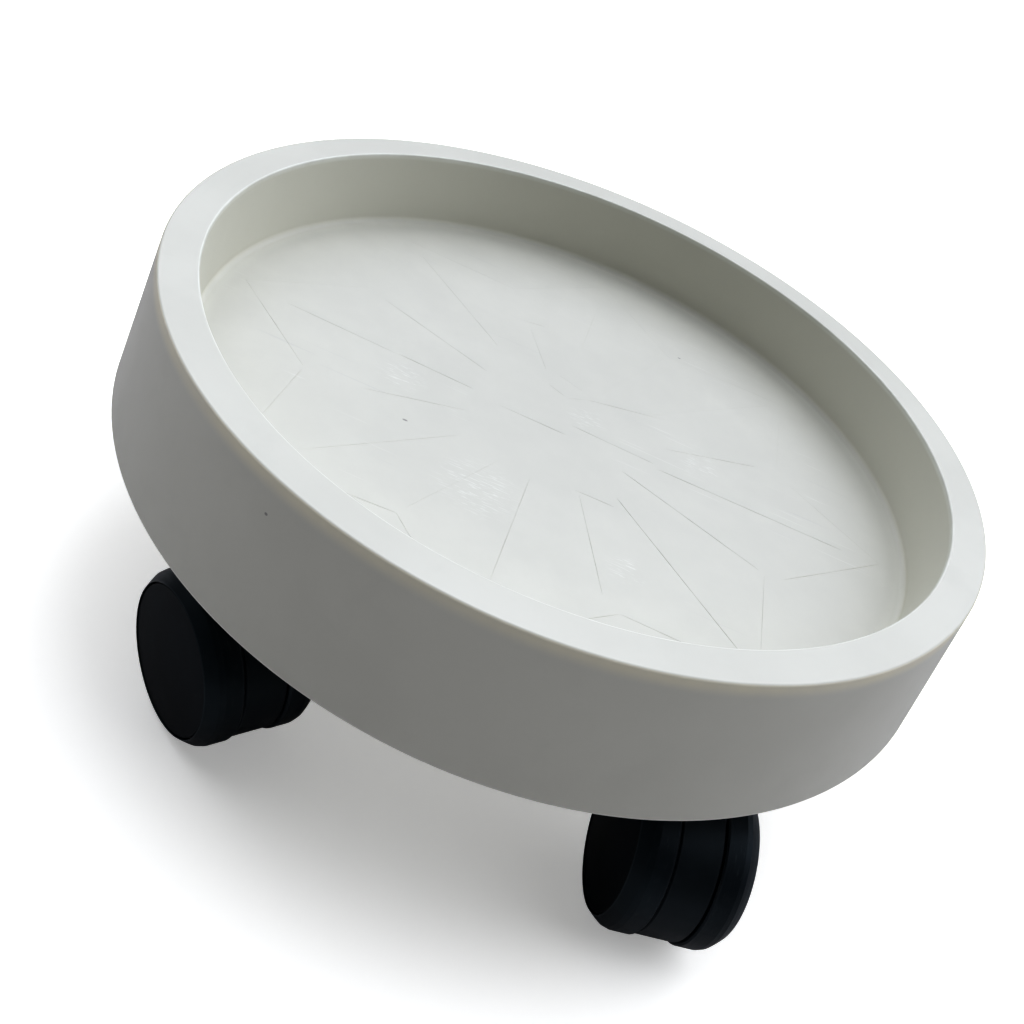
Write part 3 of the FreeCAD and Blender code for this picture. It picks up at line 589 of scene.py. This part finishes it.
# ---------------------------------------------------------------------------
# White moulded plastic of the tray
# ---------------------------------------------------------------------------
def tray_material():
    s = Shader("tray_moulded_plastic")
    p = s.coords()
    x, y, z = s.split(p)
    r = s.math("SQRT", s.math("ADD", s.math("MULTIPLY", x, x), s.math("MULTIPLY", y, y)))
    # large soft mottling and a finer grain
    cloud = s.noise(p, 16.0, detail=3.0)
    blotch = s.noise(p, 55.0, detail=4.0, rough=0.6)
    grain = s.noise(p, 2600.0, detail=2.0)
    base = s.mix(s.ramp(cloud, 0.35, 0.65), (0.606, 0.603, 0.538), (0.632, 0.629, 0.562))
    base = s.mix(s.math("MULTIPLY", s.ramp(blotch, 0.52, 0.72), 0.35), base, (0.590, 0.590, 0.528))
    # the dish floor, where the pots stand: slightly greyer, scuffed both darker and lighter
    on_floor = s.math("MULTIPLY", s.ramp(r, 0.1168, 0.112), s.ramp(z, TOP - 0.0240, TOP - 0.0255))
    stood = s.noise(p, 38.0, detail=5.0, rough=0.62)
    base = s.mix(s.math("MULTIPLY", on_floor, s.ramp(stood, 0.30, 0.70, 0.60, 1.0)), base, (0.560, 0.558, 0.500))
    a1 = streaks(s, p, 0.55, 9.0, 0.03, 1.0)
    a2 = streaks(s, p, -0.9, 11.0, 0.03, 2.0)
    a3 = streaks(s, p, 1.9, 13.0, 0.03, 3.0)
    scratch = s.math("MAXIMUM", a1, s.math("MAXIMUM", a2, a3))
    scratch = s.math("MULTIPLY", scratch, s.math("MULTIPLY_ADD", on_floor, 0.8, 0.2))
    base = s.mix(s.math("MULTIPLY", scratch, 0.20), base, (0.42, 0.42, 0.405))
    b1 = streaks(s, p, 0.25, 21.0, 0.05, 4.0)
    b2 = streaks(s, p, 2.6, 26.0, 0.05, 5.0)
    b3 = streaks(s, p, 1.2, 30.0, 0.05, 6.0)
    rub = s.math("MAXIMUM", b1, s.math("MAXIMUM", b2, b3))
    near = None
    for cx, cy, reach in ((-0.0168, -0.0528, 0.0170), (0.0456, 0.0072, 0.0090), (0.0060, 0.0055, 0.0085), (-0.0520, -0.0150, 0.0100), (0.0300, -0.0600, 0.0080)):
        far = s.vec("LENGTH", s.vec("SUBTRACT", p, (cx, cy, TOP - 0.026)))
        one = s.ramp(far, reach, reach * 0.25)
        near = one if near is None else s.math("MAXIMUM", near, one)
    one_way = s.noise(s.mapping(p, rotation=(0.0, 0.0, 0.75), scale=(210.0, 1900.0, 0.0)), 1.0, detail=2.0, rough=0.45)
    other_way = s.noise(s.mapping(p, rotation=(0.0, 0.0, -0.55), scale=(260.0, 2100.0, 0.0)), 1.0, detail=2.0, rough=0.45)
    scribble = s.math("MAXIMUM", s.ramp(one_way, 0.57, 0.66), s.ramp(other_way, 0.60, 0.69))
    rub = s.math("MAXIMUM", s.math("MULTIPLY", rub, 0.6), s.math("MULTIPLY", s.math("MULTIPLY", scribble, near), 0.75))
    rub = s.math("MULTIPLY", rub, on_floor)
    base = s.mix(s.math("MULTIPLY", rub, 0.55), base, (0.74, 0.745, 0.690))
    # the wall of the recess: painted light, a little paler than the other faces, standing in for light falling on the
    # wall
    painted_light_recess_wall = s.math("MULTIPLY", s.ramp(r, 0.1197, 0.1192), s.ramp(z, TOP - 0.0262, TOP - 0.0246))
    painted_light_recess_wall = s.math("MULTIPLY", painted_light_recess_wall, s.ramp(z, TOP - 0.0002, TOP - 0.0010))
    base = s.mix(s.math("MULTIPLY", painted_light_recess_wall, 0.8), base, (0.735, 0.727, 0.630))
    # the edges: a thin warm band of painted light, standing in for light coming through under the rim's edge, and pale
    # lines of painted highlight along the inner rim edge and the skirt's foot
    wall = s.ramp(r, 0.1288, 0.1294)
    rim_glow_band = s.math("MULTIPLY", s.ramp(z, TOP - 0.0048, TOP - 0.0010), s.ramp(z, TOP - 0.00002, TOP - 0.00035))
    rim_glow_band = s.math("MULTIPLY", s.math("MULTIPLY", rim_glow_band, wall), s.ramp(blotch, 0.30, 0.70, 0.70, 1.0))
    base = s.mix(rim_glow_band, base, (0.760, 0.728, 0.590))
    # painted highlight: the inner rim edge and the skirt's foot made paler, standing in for light they catch
    lip_highlight = s.math("MULTIPLY", s.ramp(s.math("ABSOLUTE", s.math("SUBTRACT", r, 0.11885)), 0.00062, 0.00018), s.ramp(z, TOP - 0.0022, TOP - 0.0010))
    hem_highlight = s.math("MULTIPLY", s.ramp(z, FOOT + 0.0011, FOOT + 0.0005), wall)
    painted_highlight_lines = s.math("MULTIPLY", s.math("MAXIMUM", lip_highlight, hem_highlight), s.ramp(blotch, 0.35, 0.60, 0.55, 1.0))
    base = s.mix(s.math("MULTIPLY", painted_highlight_lines, 0.75), base, (0.86, 0.87, 0.80))
    # edges and creases below the rim made a little darker: partly grime on the edges, partly painted shade in the
    # creases
    edge = s.edges(0.0011)
    edge_grime_and_crease_shade = s.math("MULTIPLY", edge, s.ramp(blotch, 0.38, 0.62, 0.25, 1.0))
    base = s.mix(s.math("MULTIPLY", s.math("MULTIPLY", edge_grime_and_crease_shade, s.ramp(z, TOP - 0.012, TOP - 0.020)), 0.18), base, (0.585, 0.572, 0.510))
    # a few specks of dirt
    speck = None
    for sx, sy, sz, size in ((-0.04418, -0.03638, TOP - 0.026, 0.00055), (-0.0580, -0.11762, TOP - 0.00972, 0.00042),
                             (0.0310, 0.0720, TOP - 0.026, 0.00040), (0.1065, 0.0742, TOP - 0.0210, 0.00045), (-0.1190, 0.0550, TOP - 0.0300, 0.00050)):
        off = s.vec("SUBTRACT", p, (sx, sy, sz))
        off = s.vec("MULTIPLY", off, (0.62, 1.25, 1.0))
        one = s.ramp(s.vec("LENGTH", off), size * 1.15, size * 0.65)
        speck = one if speck is None else s.math("MAXIMUM", speck, one)
    base = s.mix(s.math("MULTIPLY", speck, 0.72), base, (0.19, 0.185, 0.17))
    rough = s.math("ADD", 0.43, s.math("MULTIPLY", s.math("SUBTRACT", blotch, 0.5), 0.16))
    rough = s.math("ADD", rough, s.math("MULTIPLY", scratch, -0.08))
    rough = s.math("ADD", rough, s.math("MULTIPLY", edge_grime_and_crease_shade, -0.06), clamp=True)
    crease = s.math("MULTIPLY", s.ramp(r, 0.1150, 0.1166), s.math("MULTIPLY", s.ramp(r, 0.1192, 0.1188), s.ramp(z, TOP - 0.0228, TOP - 0.0245)))
    rough = s.math("ADD", rough, s.math("MULTIPLY", crease, 0.38), clamp=True)
    n = s.bump(grain, 0.000022, 0.55)
    n = s.bump(s.noise(p, 95.0, detail=2.0), 0.00016, 0.35, n)
    n = s.bump(s.math("SUBTRACT", 1.0, scratch), 0.00003, 0.5, n)
    s.set(Base_Color=base, Roughness=rough, Normal=n, IOR=1.49, Specular_IOR_Level=0.5)
    return s.mat


# ---------------------------------------------------------------------------
# Black moulded plastics of the casters, in the caster's own frame
# ---------------------------------------------------------------------------
def black_material(name, place, kind):
    s = Shader(name)
    loc = place.to_translation()
    turn = place.to_euler()
    q = s.mapping(s.coords(), location=loc, rotation=turn, kind="TEXTURE")
    x, y, z = s.split(q)
    radius = s.math("SQRT", s.math("ADD", s.math("MULTIPLY", x, x), s.math("MULTIPLY", z, z)))
    cloud = s.noise(q, 60.0, detail=3.0)
    grain = s.noise(q, 3200.0, detail=2.0)
    dust = s.noise(q, 240.0, detail=5.0, rough=0.65)
    if kind == "tread":
        dark, light, shine = (0.0055, 0.0095, 0.0135), (0.0105, 0.0175, 0.0235), 0.42
    elif kind == "cap":
        dark, light, shine = (0.0038, 0.0058, 0.0086), (0.0058, 0.0086, 0.0125), 0.50
    else:
        dark, light, shine = (0.0065, 0.0100, 0.0130), (0.0100, 0.0150, 0.0195), 0.46
    base = s.mix(s.ramp(cloud, 0.35, 0.65), dark, light)
    # pale bluish edges: partly wear, partly a painted highlight along the edges
    edge = s.edges(0.0007)
    base = s.mix(s.math("MULTIPLY", edge, 0.42), base, (0.060, 0.072, 0.084))
    base = s.mix(s.math("MULTIPLY", s.ramp(dust, 0.55, 0.80), 0.12), base, (0.060, 0.064, 0.064))
    if kind == "tread":
        # turning lines round the tread, and the dull track where it meets the floor
        ring = s.noise(s.join(0.0, s.math("MULTIPLY", y, 9000.0), 0.0), 1.0, detail=2.0)
        sweep = s.noise(s.join(s.math("MULTIPLY", radius, 5200.0), s.math("MULTIPLY", y, 5200.0), 0.0), 1.0, detail=2.0)
        scuff = s.noise(s.join(s.math("MULTIPLY", x, 260.0), s.math("MULTIPLY", y, 1500.0), s.math("MULTIPLY", z, 260.0)), 1.0, detail=3.0)
        on_tread = s.ramp(radius, 0.0250, 0.0256)
        base = s.mix(s.math("MULTIPLY", s.math("MULTIPLY", s.ramp(scuff, 0.56, 0.74), on_tread), 0.25), base, (0.050, 0.055, 0.058))
        lines = s.math("MULTIPLY_ADD", ring, 0.6, s.math("MULTIPLY", sweep, 0.4))
        rough = s.math("ADD", shine, s.math("MULTIPLY", s.math("SUBTRACT", scuff, 0.5), 0.22))
        n = s.bump(lines, 0.00003, 0.8)
    elif kind == "cap":
        sweep = s.noise(s.join(s.math("MULTIPLY", radius, 4200.0), 0.0, 0.0), 1.0, detail=2.0)
        rough = s.math("ADD", shine, s.math("MULTIPLY", s.math("SUBTRACT", sweep, 0.5), 0.10))
        n = s.bump(sweep, 0.000012, 0.6)
    else:
        rough = s.math("ADD", shine, s.math("MULTIPLY", s.math("SUBTRACT", dust, 0.5), 0.25))
        n = s.bump(dust, 0.00003, 0.4)
    n = s.bump(grain, 0.00003, 0.5, n)
    rough = s.math("ADD", rough, s.math("MULTIPLY", edge, -0.06), clamp=True)
    s.set(Base_Color=base, Roughness=rough, Normal=n, IOR=1.5, Specular_IOR_Level=0.13 if kind == "cap" else 0.22)
    s.bsdf.inputs["Specular Tint"].default_value = (0.72, 0.90, 1.0, 1.0)
    return s.mat


def steel_material(name, tint, shine, place=None):
    s = Shader(name)
    p = s.coords()
    if place is not None:
        p = s.mapping(p, location=place.to_translation(), rotation=place.to_euler(), kind="TEXTURE")
    x, y, z = s.split(p)
    cloud = s.noise(p, 400.0, detail=4.0)
    fine = s.noise(p, 5200.0, detail=2.0)
    turn = s.noise(s.join(s.math("MULTIPLY", x, 300.0), s.math("MULTIPLY", y, 300.0), s.math("MULTIPLY", z, 9000.0)), 1.0, detail=2.0)
    base = s.mix(s.ramp(cloud, 0.35, 0.70), tint, tuple(c * 0.78 for c in tint))
    edge = s.edges(0.0003)
    base = s.mix(s.math("MULTIPLY", edge, 0.4), base, tuple(min(1.0, c * 1.25) for c in tint))
    rough = s.math("ADD", shine, s.math("MULTIPLY", s.math("SUBTRACT", cloud, 0.5), 0.25), clamp=True)
    n = s.bump(turn, 0.000015, 0.6)
    n = s.bump(fine, 0.00001, 0.3, n)
    s.set(Base_Color=base, Roughness=rough, Normal=n)
    s.bsdf.inputs["Metallic"].default_value = 1.0
    return s.mat


def dress(node, material):
    o = nodes[node]
    o.data.materials.clear()
    o.data.materials.append(material)
    for poly in o.data.polygons:
        poly.material_index = 0


tray_piece.data.materials.clear()
tray_piece.data.materials.append(tray_material())
for where in CASTERS:
    place = caster_frame(where)
    hood = black_material(where + "_hood_plastic", place, "hood")
    tread = black_material(where + "_wheel_plastic", place, "tread")
    cap = black_material(where + "_cap_plastic", place, "cap")
    upright = steel_material(where + "_stem_zinc", (0.60, 0.61, 0.62), 0.30)
    cross = steel_material(where + "_axle_zinc", (0.60, 0.61, 0.62), 0.28, place)
    spring = steel_material(where + "_spring_steel", (0.30, 0.30, 0.31), 0.35)
    dress(where + "_hood", hood)
    dress(where + "_stem", upright)
    dress(where + "_grip_ring", spring)
    dress(where + "_retaining_ring", spring)
    dress(where + "_axle", cross)
    dress(where + "_axle_clips", spring)
    for side in ("left", "right"):
        dress(where + "_wheel_" + side, tread)
        caps[where + "_hub_cap_" + side].data.materials.append(cap)

# ---------------------------------------------------------------------------
# Floor, light, camera
# ---------------------------------------------------------------------------
floor_mesh = bpy.data.meshes.new("studio_floor")
half, steps = 6.0, 24
verts = [(-half + 2 * half * i / steps, -half + 2 * half * j / steps, 0.0) for j in range(steps + 1) for i in range(steps + 1)]
faces = [(j * (steps + 1) + i, j * (steps + 1) + i + 1, (j + 1) * (steps + 1) + i + 1, (j + 1) * (steps + 1) + i)
         for j in range(steps) for i in range(steps)]
floor_mesh.from_pydata(verts, [], faces)
floor = bpy.data.objects.new("studio_floor", floor_mesh)
scene.collection.objects.link(floor)
s = Shader("studio_floor_paper")
seen = s.new("ShaderNodeLightPath").outputs["Is Camera Ray"]
paper = s.mix(s.ramp(s.noise(s.coords(), 3.0, detail=2.0), 0.3, 0.7), (0.870, 0.855, 0.790), (0.900, 0.885, 0.820))
s.set(Base_Color=s.mix(seen, (0.605, 0.585, 0.565), paper), Roughness=0.9)
s.bsdf.inputs["Emission Color"].default_value = (1.0, 1.0, 1.0, 1.0)
s.feed(s.bsdf.inputs["Emission Strength"], s.math("MULTIPLY", seen, 0.42))
s.bsdf.inputs["Specular IOR Level"].default_value = 0.1
floor_mesh.materials.append(s.mat)


def area(name, at, target, size, watts, colour):
    lamp = bpy.data.lights.new(name, "AREA")
    lamp.shape = "DISK"
    lamp.size = size
    lamp.energy = watts
    lamp.color = colour
    o = bpy.data.objects.new(name, lamp)
    scene.collection.objects.link(o)
    o.location = at
    o.rotation_mode = "QUATERNION"
    o.rotation_quaternion = (Vector(target) - Vector(at)).to_track_quat("-Z", "Y")
    return o


def soft_sun(name, toward, spread, strength, colour):
    """A far soft box: light from the given direction, spread over a cone of that many degrees."""
    lamp = bpy.data.lights.new(name, "SUN")
    lamp.angle = math.radians(spread)
    lamp.energy = strength
    lamp.color = colour
    o = bpy.data.objects.new(name, lamp)
    scene.collection.objects.link(o)
    o.location = Vector(toward).normalized() * 3.0
    o.rotation_mode = "QUATERNION"
    o.rotation_quaternion = (-Vector(toward)).to_track_quat("-Z", "Y")
    return o


soft_sun("right_box", (0.62, 0.40, 1.0), 80.0, 2.38, (0.975, 1.0, 1.105))
soft_sun("left_box", (-0.42, 0.46, 1.0), 80.0, 2.08, (0.975, 1.0, 1.105))
area("side_box", (1.3, -0.2, 0.9), (0.0, 0.0, 0.1), 0.8, 0.4, (0.96, 0.99, 1.0))

world = bpy.data.worlds.new("studio")
scene.world = world
world.use_nodes = True
world.node_tree.nodes["Background"].inputs["Color"].default_value = (0.93, 0.97, 1.0, 1.0)
world.node_tree.nodes["Background"].inputs["Strength"].default_value = 0.10
backdrop = world.node_tree.nodes.new("ShaderNodeBackground")
backdrop.inputs["Color"].default_value = (1.0, 1.0, 1.0, 1.0)
backdrop.inputs["Strength"].default_value = 1.15
path = world.node_tree.nodes.new("ShaderNodeLightPath")
blend = world.node_tree.nodes.new("ShaderNodeMixShader")
world.node_tree.links.new(path.outputs["Is Camera Ray"], blend.inputs["Fac"])
world.node_tree.links.new(world.node_tree.nodes["Background"].outputs["Background"], blend.inputs[1])
world.node_tree.links.new(backdrop.outputs["Background"], blend.inputs[2])
world.node_tree.links.new(blend.outputs["Shader"], world.node_tree.nodes["World Output"].inputs["Surface"])

scene.view_settings.view_transform = "Standard"
scene.view_settings.look = "None"
scene.view_settings.gamma = 0.72

cam = bpy.data.cameras.new("camera")
cam.sensor_width = 36.0
cam.lens = 41.7414
cam_object = bpy.data.objects.new("camera", cam)
scene.collection.objects.link(cam_object)
right = (0.91587904, 0.21800795, 0.33710253)
up = (-0.40061427, 0.55061722, 0.73234478)
back = (-0.02595747, -0.80578732, 0.59163587)
cam_object.matrix_world = Matrix((
    (right[0], up[0], back[0], -0.013854),
    (right[1], up[1], back[1], -0.323198),
    (right[2], up[2], back[2], TOP + 0.169616),
    (0.0, 0.0, 0.0, 1.0),
))
cam.clip_start = 0.01
cam.clip_end = 50.0
scene.camera = cam_object
